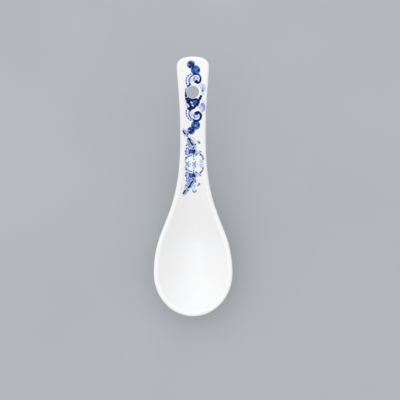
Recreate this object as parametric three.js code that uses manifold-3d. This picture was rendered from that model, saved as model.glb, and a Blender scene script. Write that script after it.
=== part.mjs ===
// A porcelain soup spoon: a flat-footed bowl that sweeps up into a dished handle with a hanging hole,
// coated with clear glaze and printed with blue ornament.
// Millimetres, +Z up. The origin is the middle of the flat foot, and +Y runs along the handle to its end.
// A "station" is a distance along the spoon from the tip of the bowl, seen from above.
import * as THREE from "three";
import { mergeVertices } from "three/addons/utils/BufferGeometryUtils.js";
import Module from "manifold-3d";

const wasm = await Module();
wasm.setup();

// Plan of the finished spoon, seen from above
const LENGTH = 136;
const BOWL_WIDTH = 42;
const WIDEST_STATION = 22.9;
const SHOULDER = 26.3; // how far the bowl's sides stay full behind the widest place
const NECK_STATION = 94.5;
const NECK_WIDTH = 13.5;
const NECK_EASE = 43.6; // how far ahead of the neck the sides have turned to run along the handle
const END_WIDTH = 16.8;
const END_ROUNDING = 6.2; // length of the rounded end
const FLARE_EASE = 19; // how far behind the neck the sides start to flare
const FLARE_REACH = 14; // how far ahead of the rounded end the flare has its full slope
const FLARE_SLOPE = 0.065;
const END_FULLNESS = 18.6; // width of the flat that the rounded end tends to
const CORNER_START = 1.3; // how far the sides run on into the rounded end

// Heights of the finished spoon above the table
const HEIGHT = 42;
const BOWL_RIM_HEIGHT = 18;
const NECK_RIM_HEIGHT = 31.2;
const NECK_SLOPE = 0.36;
const END_SLOPE = 0.12;

// How far the middle lies below the edge
const BOWL_DISH = 13.6;
const THROAT_DISH = 1.6;
const THROAT_SLOPE = -0.02;
const END_DISH = 0.9;
const BOWL_BACK_STATION = 38; // the bowl's floor runs level up to here
const THROAT_STATION = 78; // the rise from the bowl to the handle ends here

// Section of the fired clay body
const BOWL_FLOOR = 4.6;
const HANDLE_THICKNESS = 2.6;
const EDGE_THICKNESS = 2.4;
const BOWL_ROUNDNESS = 2.6; // power of the bowl's section: 2 is a parabola, more is a flatter floor
const HANDLE_ROUNDNESS = 2;

// Coats and prints
const GLAZE = 0.25;
const BARE_FOOT_BAND = 0.4; // the glaze is wiped off this far above the table
const PRINT = 0.05;
const PRINT_GAP = 0.05;
const UNPRINTED_RIM = 0.5; // bare ring round the hole

// Foot and hanging hole
const FOOT_STATION = 32;
const FOOT_LENGTH = 38;
const FOOT_WIDTH = 22;
const HOLE_DIAMETER = 6.2; // through the glaze
const HOLE_FROM_END = 18.1;

// Fineness of the facets
const SIDE_STEPS = [12, 16, 8, 9]; // steps along the tip, the sweep to the neck, the flare and the end
const SPOKES = 5; // steps from the middle to the edge
const EDGE_STEPS = 6; // steps round the edge
const ROUND_STEPS = 24; // steps round the hole and the round prints

const EDGE_RADIUS = EDGE_THICKNESS / 2 + GLAZE;
const SPINE_START = WIDEST_STATION;
const SPINE_END = LENGTH - END_WIDTH / 2;
const HOLE_STATION = LENGTH - HOLE_FROM_END;

// Smooth curve through [station, value, slope] knots, running on straight beyond its end knots.
function throughKnots(knots) {
  const straightOn = ([start, value, slope], station) => value + slope * (station - start);
  return (station) => {
    if (station <= knots[0][0]) return straightOn(knots[0], station);
    if (station >= knots.at(-1)[0]) return straightOn(knots.at(-1), station);
    const i = knots.findIndex((knot) => knot[0] > station) - 1;
    const [start, from, slopeOut] = knots[i];
    const [end, to, slopeIn] = knots[i + 1];
    const span = end - start;
    const t = (station - start) / span;
    const bend = t * (1 - t) * span * (slopeOut * (1 - t) - slopeIn * t);
    return from + (to - from) * t * t * (3 - 2 * t) + bend;
  };
}

// Height of the edge's centre line, depth of the middle below it, and wall thickness in the middle.
const edgeLine = throughKnots([
  [BOWL_BACK_STATION, BOWL_RIM_HEIGHT - EDGE_RADIUS, 0],
  [NECK_STATION, NECK_RIM_HEIGHT - EDGE_RADIUS, NECK_SLOPE],
  [LENGTH - EDGE_RADIUS, HEIGHT - EDGE_RADIUS, END_SLOPE],
]);
const dishDepth = throughKnots([
  [BOWL_BACK_STATION, BOWL_DISH, 0],
  [THROAT_STATION, THROAT_DISH, THROAT_SLOPE],
  [LENGTH, END_DISH, 0],
]);
const middleWall = throughKnots([
  [BOWL_BACK_STATION, BOWL_FLOOR, 0],
  [THROAT_STATION, HANDLE_THICKNESS, 0],
]);
const roundness = throughKnots([
  [BOWL_BACK_STATION, BOWL_ROUNDNESS, 0],
  [THROAT_STATION, HANDLE_ROUNDNESS, 0],
]);

// Centre line of the edge on the right side, seen from above, from the tip to the end of the handle.
function sideOutline() {
  const bowlHalf = BOWL_WIDTH / 2 - EDGE_RADIUS;
  const neckHalf = NECK_WIDTH / 2 - EDGE_RADIUS;
  const endHalf = END_WIDTH / 2 - EDGE_RADIUS;
  const fullHalf = END_FULLNESS / 2 - EDGE_RADIUS;
  const cornerStation = LENGTH - END_ROUNDING;
  const flareStation = cornerStation - FLARE_REACH;
  const endStation = LENGTH - EDGE_RADIUS;
  const outline = new THREE.Path();
  outline.absellipse(0, WIDEST_STATION, bowlHalf, WIDEST_STATION - EDGE_RADIUS, -Math.PI / 2, 0);
  outline.bezierCurveTo(
    bowlHalf, WIDEST_STATION + SHOULDER,
    neckHalf, NECK_STATION - NECK_EASE,
    neckHalf, NECK_STATION,
  );
  outline.bezierCurveTo(
    neckHalf, NECK_STATION + FLARE_EASE,
    endHalf - FLARE_SLOPE * FLARE_REACH, flareStation,
    endHalf, cornerStation,
  );
  outline.bezierCurveTo(endHalf, cornerStation + CORNER_START, fullHalf, endStation, 0, endStation);
  return outline;
}
const OUTLINE = sideOutline();

// A rib runs from the spine, in the middle of the spoon, to the edge. Its foot on the spine is square to
// the edge point along the spoon's length, and ribs fan out at the tip and at the end of the handle.
function spineStation(edgeStation) {
  return THREE.MathUtils.clamp(edgeStation, SPINE_START, SPINE_END);
}

// Middle of the wall at a share "way" along the side (0 tip, 1 end) and a share "out" along the rib.
function wallMiddle(way, out) {
  const edge = OUTLINE.getPoint(THREE.MathUtils.clamp(way, 0, 1));
  const spine = spineStation(edge.y);
  const station = spine + (edge.y - spine) * out;
  const height = edgeLine(station) - dishDepth(spine) * (1 - out ** roundness(spine));
  return new THREE.Vector3(edge.x * out, station, height);
}

const NUDGE = 1e-3; // share of a side or rib used to measure slopes

function alongEdge(way, out) {
  const along = wallMiddle(way + NUDGE, out).sub(wallMiddle(way - NUDGE, out));
  if (way <= 0 || way >= 1) along.setY(0).setZ(0);
  return along.normalize();
}

// Direction square to the wall, upwards.
function wallNormal(way, out) {
  if (out < NUDGE) {
    const spine = spineStation(OUTLINE.getPoint(way).y);
    const middle = (station) => edgeLine(station) - dishDepth(station);
    const rise = middle(spine + NUDGE) - middle(spine - NUDGE);
    return new THREE.Vector3(0, -rise, 2 * NUDGE).normalize();
  }
  const across = wallMiddle(way, out + NUDGE).sub(wallMiddle(way, out - NUDGE));
  return across.cross(alongEdge(way, out)).normalize();
}

// A point on the upper face (side 1) or under face (side -1) of the wall, thickened by "grow".
function facePoint(way, out, side, grow) {
  const spine = spineStation(OUTLINE.getPoint(way).y);
  const thickness = THREE.MathUtils.lerp(middleWall(spine), EDGE_THICKNESS, out * out);
  return wallMiddle(way, out).addScaledVector(wallNormal(way, out), side * (thickness / 2 + grow));
}

// A point on the rounded edge, from its upper side (turn 0) to its under side (turn 1).
function edgePoint(way, turn, grow) {
  const up = wallNormal(way, 1);
  const outwards = alongEdge(way, 1).cross(up).normalize();
  const radius = EDGE_THICKNESS / 2 + grow;
  return wallMiddle(way, 1)
    .addScaledVector(up, radius * Math.cos(turn * Math.PI))
    .addScaledVector(outwards, radius * Math.sin(turn * Math.PI));
}

const steps = (count) => Array.from({ length: count + 1 }, (_, i) => i / count);
const SPOKE_SHARES = steps(SPOKES);
const INWARD_SHARES = SPOKE_SHARES.toReversed();

// Section of the whole spoon at a rib: out along the upper face, round the edge, back along the under face.
function wallSection(grow) {
  return (way) => [
    ...SPOKE_SHARES.slice(0, -1).map((out) => facePoint(way, out, 1, grow)),
    ...steps(EDGE_STEPS).map((turn) => edgePoint(way, turn, grow)),
    ...INWARD_SHARES.slice(1).map((out) => facePoint(way, out, -1, grow)),
  ];
}

// Section of the block of space from the middle of the wall down past the table.
function undersideSection(way) {
  const middles = SPOKE_SHARES.map((out) => wallMiddle(way, out));
  return [...middles, ...middles.toReversed().map((point) => point.clone().setZ(-HEIGHT))];
}

// Where the ribs meet the side, as shares of its length.
function ribWays() {
  const ends = OUTLINE.getCurveLengths();
  const starts = [0, ...ends];
  const stretches = ends.map((end, i) =>
    steps(SIDE_STEPS[i]).slice(1).map((share) => THREE.MathUtils.lerp(starts[i], end, share) / ends.at(-1)),
  );
  return [0, ...stretches.flat()];
}
const RIB_WAYS = ribWays();

// A solid through the sections of every rib, on both sides of the spoon.
function loft(section) {
  const rings = RIB_WAYS.map(section);
  const corners = [];
  const mirrored = (point) => new THREE.Vector3(-point.x, point.y, point.z);
  const triangle = (a, b, c) => {
    if (a.equals(b) || b.equals(c) || c.equals(a)) return;
    corners.push(a, b, c, mirrored(a), mirrored(c), mirrored(b));
  };
  for (let i = 0; i + 1 < rings.length; i++) {
    for (let j = 0; j + 1 < rings[i].length; j++) {
      const [near, far] = [rings[i], rings[i + 1]];
      triangle(near[j], near[j + 1], far[j + 1]);
      triangle(near[j], far[j + 1], far[j]);
    }
  }
  const geometry = new THREE.BufferGeometry().setFromPoints(corners);
  return solidOf(geometry.translate(0, -FOOT_STATION, 0));
}

// The same geometry with only positions, shared by the faces that meet.
function joined(geometry) {
  const bare = geometry.clone();
  bare.deleteAttribute("normal");
  bare.deleteAttribute("uv");
  return mergeVertices(bare);
}

function solidOf(geometry) {
  const { attributes, index } = joined(geometry);
  return new wasm.Manifold(
    new wasm.Mesh({
      numProp: 3,
      vertProperties: attributes.position.array,
      triVerts: new Uint32Array(index.array),
    }),
  );
}

function meshOf(name, solid, material) {
  const { vertProperties, triVerts } = solid.getMesh();
  const geometry = new THREE.BufferGeometry();
  geometry.setAttribute("position", new THREE.BufferAttribute(vertProperties, 3));
  geometry.setIndex(new THREE.BufferAttribute(triVerts, 1));
  geometry.computeVertexNormals();
  const mesh = new THREE.Mesh(geometry, material);
  mesh.name = name;
  return mesh;
}

// An upright column over a plan shape, whose second coordinate is a station.
function column(shape, bottom, top) {
  const geometry = new THREE.ExtrudeGeometry(shape, {
    depth: top - bottom,
    bevelEnabled: false,
    curveSegments: ROUND_STEPS,
  });
  return solidOf(geometry.translate(0, -FOOT_STATION, bottom));
}

function ovalShape(station, halfWidth, halfLength) {
  return new THREE.Shape().absellipse(0, station, halfWidth, halfLength, 0, 2 * Math.PI);
}

function holeColumn(diameter) {
  return column(ovalShape(HOLE_STATION, diameter / 2, diameter / 2), 0, HEIGHT);
}

// The spoon's wall with its foot and hole, thickened all over by "grow" and ending at "footBottom".
function spoonSolid(grow, footBottom) {
  const foot = ovalShape(FOOT_STATION, FOOT_WIDTH / 2 + grow, FOOT_LENGTH / 2 + grow);
  const footColumn = column(foot, footBottom, HEIGHT).intersect(loft(undersideSection));
  const hole = holeColumn(HOLE_DIAMETER + 2 * (GLAZE - grow));
  return loft(wallSection(grow)).add(footColumn).subtract(hole);
}

// Blue ornament: two bands along the handle, each mirrored about its own middle. Its places and sizes are in
// hundredths of half the neck's flat, and "along" runs from the band's middle towards the end of the handle.
const ORNAMENT_UNIT = (NECK_WIDTH / 2 - EDGE_RADIUS) / 100;
const SCROLL_BAND_BELOW_HOLE = 61;
const SPRAY_BAND_BELOW_HOLE = 700;
const SCROLL_BAND_STATION = HOLE_STATION - SCROLL_BAND_BELOW_HOLE * ORNAMENT_UNIT;
const SPRAY_BAND_STATION = HOLE_STATION - SPRAY_BAND_BELOW_HOLE * ORNAMENT_UNIT;

const ROSETTE = { x: -21, along: 323, radius: 29, petals: 3, scallop: 0.06 };
const BERRY = { x: 27, along: 273, radius: 37, petals: 8, scallop: 0.03 };
const BLOSSOM = { x: -11, along: 121, radius: 30, petals: 4, scallop: 0.2 };
const BUD = { x: -68, along: 121, radius: 15, petals: 3, scallop: 0.25 };
const SEED = { x: 54, along: 206, radius: 13, petals: 5, scallop: 0.2 };
const KNOT_LEFT = { x: -56, along: 0, radius: 17, petals: 4, scallop: 0.4 };
const KNOT_RIGHT = { x: 17, along: 0, radius: 17, petals: 4, scallop: 0.4 };

// Strokes run through [x, along, half width] points.
const SCROLL = [
  [-33, 129, 2.6],
  [-45, 151, 3.7],
  [-41, 179, 3.7],
  [-20, 207, 3.4],
  [17, 223, 3.7],
  [50, 226, 5.2],
  [76, 204, 7],
  [80, 174, 8],
  [71, 151, 8.5],
  [51, 142, 9.5],
  [33, 155, 11],
];
const SIDE_LEAF = [
  [76, 116, 3],
  [86, 86, 8],
  [88, 49, 3],
];
const LAPPET_GARLAND = [
  [-67, 17, 9],
  [-54, -22, 15],
  [-30, -64, 17],
  [-9, -84, 13],
  [17, -67, 15],
  [49, -32, 14],
  [73, 6, 9],
];
const LEAF_TIP = [
  [-86, 321, 2.5],
  [-74, 303, 8.5],
  [-56, 277, 2.5],
];
const LONG_LEAF = [
  [-54, 249, 2.5],
  [-36, 228, 9],
  [-17, 202, 9],
  [0, 178, 3],
];
const TENDRIL = [
  [50, 105, 3],
  [74, 92, 5.5],
  [84, 56, 5.5],
  [70, 26, 4.5],
  [52, 36, 3],
];

// A string of beads outside each scroll, on an arc about the scroll's hollow between two angles in radians.
const BEADS = 6;
const BEAD_HALF_WIDTH = 6;
const STRING_HALF_WIDTH = 2;
const BEAD_ARC = { x: 7, along: 159, radius: 77, from: 1.98, to: 3.5 };

function beadString() {
  return steps(2 * BEADS).map((share, i) => {
    const angle = THREE.MathUtils.lerp(BEAD_ARC.from, BEAD_ARC.to, share);
    const x = BEAD_ARC.x + BEAD_ARC.radius * Math.cos(angle);
    const along = BEAD_ARC.along + BEAD_ARC.radius * Math.sin(angle);
    return [x, along, i % 2 ? BEAD_HALF_WIDTH : STRING_HALF_WIDTH];
  });
}

// Outline of a ribbon along a smooth curve through the points of a stroke.
const STROKE_STEPS = 2; // steps from each point to the next

function strokeOutline(points) {
  const line = new THREE.SplineCurve(points.map(([x, along]) => new THREE.Vector2(x, along)));
  const widths = new THREE.SplineCurve(points.map(([, , half], i) => new THREE.Vector2(i, half)));
  const shares = steps(STROKE_STEPS * (points.length - 1));
  const side = (sign) => (share) => {
    const ahead = line.getTangent(share);
    const half = sign * widths.getPoint(share).y;
    return line.getPoint(share).add(new THREE.Vector2(ahead.y * half, -ahead.x * half));
  };
  return [...shares.map(side(1)), ...shares.toReversed().map(side(-1))];
}

// Outline of a round flower with scalloped petals.
function flowerOutline({ x, along, radius, petals, scallop }) {
  return steps(ROUND_STEPS).slice(1).map((share) => {
    const angle = share * 2 * Math.PI;
    const reach = radius * (1 + scallop * Math.cos(petals * angle));
    return new THREE.Vector2(x + reach * Math.cos(angle), along + reach * Math.sin(angle));
  });
}

// The colours of the finished spoon.
const BISCUIT = { color: 0xece6da, roughness: 0.85, metalness: 0 };
const CLEAR_GLAZE = { color: 0xf5f6f7, roughness: 0.1, metalness: 0 };
const NAVY = { color: 0x17255f, roughness: 0.2, metalness: 0 };
const COBALT = { color: 0x3f66b6, roughness: 0.2, metalness: 0 };
const PALE_BLUE = { color: 0x9aaadb, roughness: 0.2, metalness: 0 };

const spoon = new THREE.Group();

function addPiece(name, solid, look) {
  spoon.add(meshOf(name, solid, new THREE.MeshStandardMaterial(look)));
}

const body = spoonSolid(0, 0);
addPiece("porcelain_body", body, BISCUIT);
addPiece("glaze_coat", spoonSolid(GLAZE, BARE_FOOT_BAND).subtract(body), CLEAR_GLAZE);

// Height of the glazed upper face over a place, found with a plumb line before the hole is cut.
const glazedWall = meshOf("glazed_wall", loft(wallSection(GLAZE)), new THREE.MeshStandardMaterial());
const plumbLine = new THREE.Raycaster();
const DOWN = new THREE.Vector3(0, 0, -1);

function glazeHeight(x, y) {
  plumbLine.set(new THREE.Vector3(x, y, 2 * HEIGHT), DOWN);
  return plumbLine.intersectObject(glazedWall)[0].point.z;
}

// A print is a thin slice of its outline draped over the glaze. "facing" is -1 to mirror it along the handle.
function addPrint(name, outline, bandStation, facing, look) {
  const bandMiddle = bandStation - FOOT_STATION;
  const place = ({ x, y }) => new THREE.Vector2(x * ORNAMENT_UNIT, bandMiddle + facing * y * ORNAMENT_UNIT);
  const shape = new THREE.Shape(outline.map(place));
  const slice = joined(new THREE.ExtrudeGeometry(shape, { depth: PRINT, bevelEnabled: false }));
  const { position } = slice.attributes;
  for (let i = 0; i < position.count; i++) {
    const lift = glazeHeight(position.getX(i), position.getY(i)) + PRINT_GAP;
    position.setZ(i, position.getZ(i) + lift);
  }
  const bareRing = holeColumn(HOLE_DIAMETER + 2 * UNPRINTED_RIM);
  addPiece(name, solidOf(slice).subtract(bareRing), look);
}

function addMirroredPrints(name, outline, bandStation, look) {
  addPrint(name + "_far", outline, bandStation, 1, look);
  addPrint(name + "_near", outline, bandStation, -1, look);
}

addMirroredPrints("rosette", flowerOutline(ROSETTE), SCROLL_BAND_STATION, NAVY);
addMirroredPrints("berry", flowerOutline(BERRY), SCROLL_BAND_STATION, COBALT);
addMirroredPrints("scroll", strokeOutline(SCROLL), SCROLL_BAND_STATION, NAVY);
addMirroredPrints("bead_string", strokeOutline(beadString()), SCROLL_BAND_STATION, NAVY);
addMirroredPrints("side_leaf", strokeOutline(SIDE_LEAF), SCROLL_BAND_STATION, PALE_BLUE);
addPrint("lappet_garland", strokeOutline(LAPPET_GARLAND), SCROLL_BAND_STATION, 1, NAVY);

addMirroredPrints("leaf_tip", strokeOutline(LEAF_TIP), SPRAY_BAND_STATION, COBALT);
addMirroredPrints("long_leaf", strokeOutline(LONG_LEAF), SPRAY_BAND_STATION, COBALT);
addMirroredPrints("blossom", flowerOutline(BLOSSOM), SPRAY_BAND_STATION, COBALT);
addMirroredPrints("bud", flowerOutline(BUD), SPRAY_BAND_STATION, PALE_BLUE);
addMirroredPrints("seed", flowerOutline(SEED), SPRAY_BAND_STATION, PALE_BLUE);
addMirroredPrints("tendril", strokeOutline(TENDRIL), SPRAY_BAND_STATION, PALE_BLUE);
addPrint("knot_left", flowerOutline(KNOT_LEFT), SPRAY_BAND_STATION, 1, PALE_BLUE);
addPrint("knot_right", flowerOutline(KNOT_RIGHT), SPRAY_BAND_STATION, 1, PALE_BLUE);

export default spoon;
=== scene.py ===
"""A porcelain soup spoon with blue printed ornament, seen straight from above.

Metres, +Z up. The origin is the middle of the flat foot, and +Y runs along the handle to its end.
A "station" is a distance along the spoon from the tip of the bowl.
"""

import math

import bmesh
import bpy
import numpy as np
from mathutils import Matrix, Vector
from mathutils.bvhtree import BVHTree
from mathutils.noise import noise_vector, seed_set


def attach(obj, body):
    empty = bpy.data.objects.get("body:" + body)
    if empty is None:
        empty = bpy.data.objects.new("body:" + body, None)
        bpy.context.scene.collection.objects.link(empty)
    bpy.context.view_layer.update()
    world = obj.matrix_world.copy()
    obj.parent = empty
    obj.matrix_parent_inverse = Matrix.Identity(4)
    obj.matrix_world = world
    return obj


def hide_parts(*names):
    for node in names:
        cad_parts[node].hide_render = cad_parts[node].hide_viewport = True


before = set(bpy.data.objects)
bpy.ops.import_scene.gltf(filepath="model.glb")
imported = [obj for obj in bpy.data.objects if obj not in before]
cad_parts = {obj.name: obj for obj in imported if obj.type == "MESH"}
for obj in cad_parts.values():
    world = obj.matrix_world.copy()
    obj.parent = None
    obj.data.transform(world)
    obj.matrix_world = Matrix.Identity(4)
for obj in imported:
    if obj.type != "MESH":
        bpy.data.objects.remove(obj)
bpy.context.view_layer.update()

MM = 0.001

# Plan of the finished spoon, as in the solids
LENGTH = 136 * MM
BOWL_WIDTH = 42 * MM
WIDEST_STATION = 22.9 * MM
SHOULDER = 26.3 * MM
NECK_STATION = 94.5 * MM
NECK_WIDTH = 13.5 * MM
NECK_EASE = 43.6 * MM
END_WIDTH = 16.8 * MM
END_ROUNDING = 6.2 * MM
FLARE_EASE = 19 * MM
FLARE_REACH = 14 * MM
FLARE_SLOPE = 0.065
END_FULLNESS = 18.6 * MM
CORNER_START = 1.3 * MM

# Heights above the table, and how far the middle lies below the edge
HEIGHT = 42 * MM
BOWL_RIM_HEIGHT = 18 * MM
NECK_RIM_HEIGHT = 31.2 * MM
NECK_SLOPE = 0.36
END_SLOPE = 0.12
BOWL_DISH = 13.6 * MM
THROAT_DISH = 1.6 * MM
THROAT_SLOPE = -0.02
END_DISH = 0.9 * MM
BOWL_BACK_STATION = 38 * MM
THROAT_STATION = 78 * MM

# Section of the clay and its coats
BOWL_FLOOR = 4.6 * MM
HANDLE_THICKNESS = 2.6 * MM
EDGE_THICKNESS = 2.4 * MM
BOWL_ROUNDNESS = 2.6  # power by which the dish rises to the edge
HANDLE_ROUNDNESS = 2
GLAZE = 0.25 * MM
GLAZE_CLEARANCE = 0.02 * MM  # off the clay inside, and inside the solids' outer faces
BARE_FOOT_BAND = 0.4 * MM
FILM = 0.015 * MM  # of the darkest ink
FILM_EDGE = 0.1  # share of that thickness where the ink runs out
FILM_CLEARANCE = 0.01 * MM

# Foot and hanging hole
FOOT_STATION = 32 * MM
FOOT_LENGTH = 38 * MM
FOOT_WIDTH = 22 * MM
FOOT_FILLET = 2.2 * MM
FILLET_SHARE = 0.7  # of the foot's wall that the fillet takes up, at most
FOOT_EDGE = 0.35 * MM
HOLE_DIAMETER = 6.2 * MM
HOLE_FROM_END = 18.1 * MM
HOLE_MOUTH = 0.55 * MM

EDGE_RADIUS = EDGE_THICKNESS / 2 + GLAZE
SPINE_START = WIDEST_STATION
SPINE_END = LENGTH - END_WIDTH / 2
HOLE_STATION = LENGTH - HOLE_FROM_END
HOLE_Y = HOLE_STATION - FOOT_STATION

# Bands of ornament, cut from one sheet that covers them both
SCROLL_BAND_STATION = HOLE_STATION - 2.7 * MM
SPRAY_BAND_STATION = HOLE_STATION - 36.8 * MM
BAND_X = 0.17 * MM
SHEET_WIDTH = 13.8 * MM
SHEET_START = 61.5 * MM
SHEET_END = 134 * MM
UNPRINTED_RIM = 0.15 * MM  # of glaze round the hole
INK_SPREAD = 0.2  # millimetres that the ink runs beyond its mark
INK_BLEED = 0.35  # millimetres over which its edge fades
WAVER = 0.08  # millimetres that its edge wavers
WAVER_SEED = 1
LEAST_INK = 0.02  # fainter than this, the glaze is bare
BEAD_LINE = 0.6  # width of the line through a string of beads, as a share of theirs
NO_MOTIF = -1

# Fineness of the meshes
CURVE_SAMPLES = 6000
SIDE_STEPS = 240
SPOKES = 30
EDGE_STEPS = 14
ROLL_STEPS = 8
RIM_EASING = 8  # rounds that even out the points of a rim
SHEET_PITCH = 0.12 * MM
MARK_STEPS = 8
NUDGE = 1e-3  # share of a side, a rib or a millimetre over which slopes are measured
WELD = 0.001 * MM  # points closer than this are merged
WALL_SMOOTHING = 50  # degrees
FILM_SMOOTHING = 35  # degrees

# Camera, table and light
CAMERA_X = 3.67 * MM
CAMERA_Y = 29.9 * MM
CAMERA_HEIGHT = 0.82
LENS = 135.93  # millimetres
SENSOR = 36  # millimetres
TABLE_SIZE = 8
TABLE_GAP = 0.02 * MM  # keeps the table's face off the foot's
ROOM_COLOUR = (1, 0.99, 0.98, 1)
ROOM_STRENGTH = 0.855
SOFT_BOX_PLACE = (-0.35, 0.75, 1.15)
SOFT_BOX_SIZE = 2.2
SOFT_BOX_POWER = 9
SOFT_BOX_COLOUR = (0.9, 0.95, 1)


# Shape of the spoon


def through_knots(*knots):
    """A smooth curve through (station, value, slope) knots, running on straight beyond the end ones."""

    def value_at(station):
        station = np.asarray(station, float)
        (first, first_value, first_slope), (last, last_value, last_slope) = knots[0], knots[-1]
        before = first_value + first_slope * (station - first)
        after = last_value + last_slope * (station - last)
        value = np.where(station < first, before, after)
        for (start, low, slope_out), (end, high, slope_in) in zip(knots, knots[1:]):
            span = end - start
            share = (station - start) / span
            rise = (high - low) * share**2 * (3 - 2 * share)
            bend = share * (1 - share) * span * (slope_out * (1 - share) - slope_in * share)
            value = np.where((share >= 0) & (share <= 1), low + rise + bend, value)
        return value

    return value_at


edge_line = through_knots(
    (BOWL_BACK_STATION, BOWL_RIM_HEIGHT - EDGE_RADIUS, 0),
    (NECK_STATION, NECK_RIM_HEIGHT - EDGE_RADIUS, NECK_SLOPE),
    (LENGTH - EDGE_RADIUS, HEIGHT - EDGE_RADIUS, END_SLOPE),
)
dish_depth = through_knots(
    (BOWL_BACK_STATION, BOWL_DISH, 0),
    (THROAT_STATION, THROAT_DISH, THROAT_SLOPE),
    (LENGTH, END_DISH, 0),
)
middle_wall = through_knots((BOWL_BACK_STATION, BOWL_FLOOR, 0), (THROAT_STATION, HANDLE_THICKNESS, 0))
roundness = through_knots((BOWL_BACK_STATION, BOWL_ROUNDNESS, 0), (THROAT_STATION, HANDLE_ROUNDNESS, 0))


def bezier(start, start_handle, end_handle, end):
    """A fine run of points along a curve between two ends, drawn by two handles."""
    t = np.linspace(0, 1, CURVE_SAMPLES)[:, None]
    points = [np.array(point) for point in (start, start_handle, end_handle, end)]
    weights = [(1 - t) ** 3, 3 * t * (1 - t) ** 2, 3 * t**2 * (1 - t), t**3]
    return sum(weight * point for weight, point in zip(weights, points))


def side_outline():
    """Centre line of the edge on the right side, from the tip of the bowl to the end of the handle."""
    bowl_half = BOWL_WIDTH / 2 - EDGE_RADIUS
    neck_half = NECK_WIDTH / 2 - EDGE_RADIUS
    end_half = END_WIDTH / 2 - EDGE_RADIUS
    full_half = END_FULLNESS / 2 - EDGE_RADIUS
    corner = LENGTH - END_ROUNDING
    end = LENGTH - EDGE_RADIUS
    turn = np.linspace(-math.pi / 2, 0, CURVE_SAMPLES)
    tip_length = WIDEST_STATION - EDGE_RADIUS
    tip = np.stack([bowl_half * np.cos(turn), WIDEST_STATION + tip_length * np.sin(turn)], axis=1)
    sweep = bezier(
        (bowl_half, WIDEST_STATION),
        (bowl_half, WIDEST_STATION + SHOULDER),
        (neck_half, NECK_STATION - NECK_EASE),
        (neck_half, NECK_STATION),
    )
    flare = bezier(
        (neck_half, NECK_STATION),
        (neck_half, NECK_STATION + FLARE_EASE),
        (end_half - FLARE_SLOPE * FLARE_REACH, corner - FLARE_REACH),
        (end_half, corner),
    )
    rounding = bezier((end_half, corner), (end_half, corner + CORNER_START), (full_half, end), (0, end))
    return np.concatenate([tip, sweep[1:], flare[1:], rounding[1:]])


OUTLINE = side_outline()
OUTLINE_LENGTHS = np.concatenate([[0], np.cumsum(np.hypot(*np.diff(OUTLINE, axis=0).T))])
OUTLINE_SHARES = OUTLINE_LENGTHS / OUTLINE_LENGTHS[-1]


def edge_at(way):
    """Places of the edge at shares "way" of the side, from 0 at the tip to 1 at the end of the handle."""
    x, station = OUTLINE.T
    return np.interp(way, OUTLINE_SHARES, x), np.interp(way, OUTLINE_SHARES, station)


def spine_at(way):
    """Stations on the spine from which the ribs to these places of the edge start."""
    return np.clip(edge_at(way)[1], SPINE_START, SPINE_END)


def spine_height(station):
    """Height of the middle of the wall at stations on the spine."""
    return edge_line(station) - dish_depth(station)


def wall_middle(way, out):
    """Middle of the wall at shares "out" along the ribs from the spine to the edge."""
    x, station = edge_at(way)
    spine = spine_at(way)
    along = spine + (station - spine) * out
    height = edge_line(along) - dish_depth(spine) * (1 - out ** roundness(spine))
    return np.stack([x * out, along, height], axis=-1)


def unit(vectors):
    return vectors / np.linalg.norm(vectors, axis=-1, keepdims=True)


def along_edge(way, out):
    """Directions along the side, square to the mirror plane at both ends of the spoon."""
    along = wall_middle(way + NUDGE, out) - wall_middle(way - NUDGE, out)
    along[[0, -1], 1:] = 0
    return unit(along)


def wall_normal(way, out):
    """Directions square to the wall, upwards."""
    if out < NUDGE:
        spine = spine_at(way)
        step = NUDGE * MM
        rise = spine_height(spine + step) - spine_height(spine - step)
        return unit(np.stack([0 * rise, -rise, 2 * step + 0 * rise], axis=-1))
    across = wall_middle(way, out + NUDGE) - wall_middle(way, out - NUDGE)
    return unit(np.cross(across, along_edge(way, out)))


def face_ring(way, out, side, grow):
    """A ring on the upper face (side 1) or under face (side -1) of the wall, thickened by "grow"."""
    thickness = middle_wall(spine_at(way)) * (1 - out**2) + EDGE_THICKNESS * out**2
    return wall_middle(way, out) + wall_normal(way, out) * side * (thickness / 2 + grow)[:, None]


def edge_ring(way, turn, grow):
    """A ring on the rounded edge, from its upper side (turn 0) to its under side (turn 1)."""
    up = wall_normal(way, 1)
    outwards = unit(np.cross(along_edge(way, 1), up))
    radius = EDGE_THICKNESS / 2 + grow
    around = up * math.cos(turn * math.pi) + outwards * math.sin(turn * math.pi)
    return wall_middle(way, 1) + around * radius


def both_sides(ring):
    """A ring of the right side, carried on round the left side, in the part's own frame."""
    left = ring[-2:0:-1] * (-1, 1, 1)
    return np.concatenate([ring, left]) - (0, FOOT_STATION, 0)


def wall_rings(grow):
    """Rings from the spine out over the upper face, round the edge and back over the under face."""
    way = np.linspace(0, 1, SIDE_STEPS + 1)
    spokes = np.linspace(0, 1, SPOKES + 1)
    upper = [face_ring(way, out, 1, grow) for out in spokes[:-1]]
    edge = [edge_ring(way, turn, grow) for turn in np.linspace(0, 1, EDGE_STEPS + 1)]
    under = [face_ring(way, out, -1, grow) for out in spokes[-2::-1]]
    return [both_sides(ring) for ring in upper + edge + under]


UPPER_RINGS = range(SPOKES + 1)
UNDER_RINGS = range(SPOKES + EDGE_STEPS, 2 * SPOKES + EDGE_STEPS + 1)


# Modelling steps


def pick(piece):
    """Selects one piece alone and makes it the active one."""
    bpy.ops.object.select_all(action="DESELECT")
    bpy.context.view_layer.objects.active = piece
    piece.select_set(True)


def edit(piece):
    """Goes into edit mode on one piece, to work on its points."""
    pick(piece)
    bpy.ops.object.mode_set(mode="EDIT")
    bpy.ops.mesh.select_mode(type="VERT")


def leave_edit():
    bpy.ops.object.mode_set(mode="OBJECT")


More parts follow.
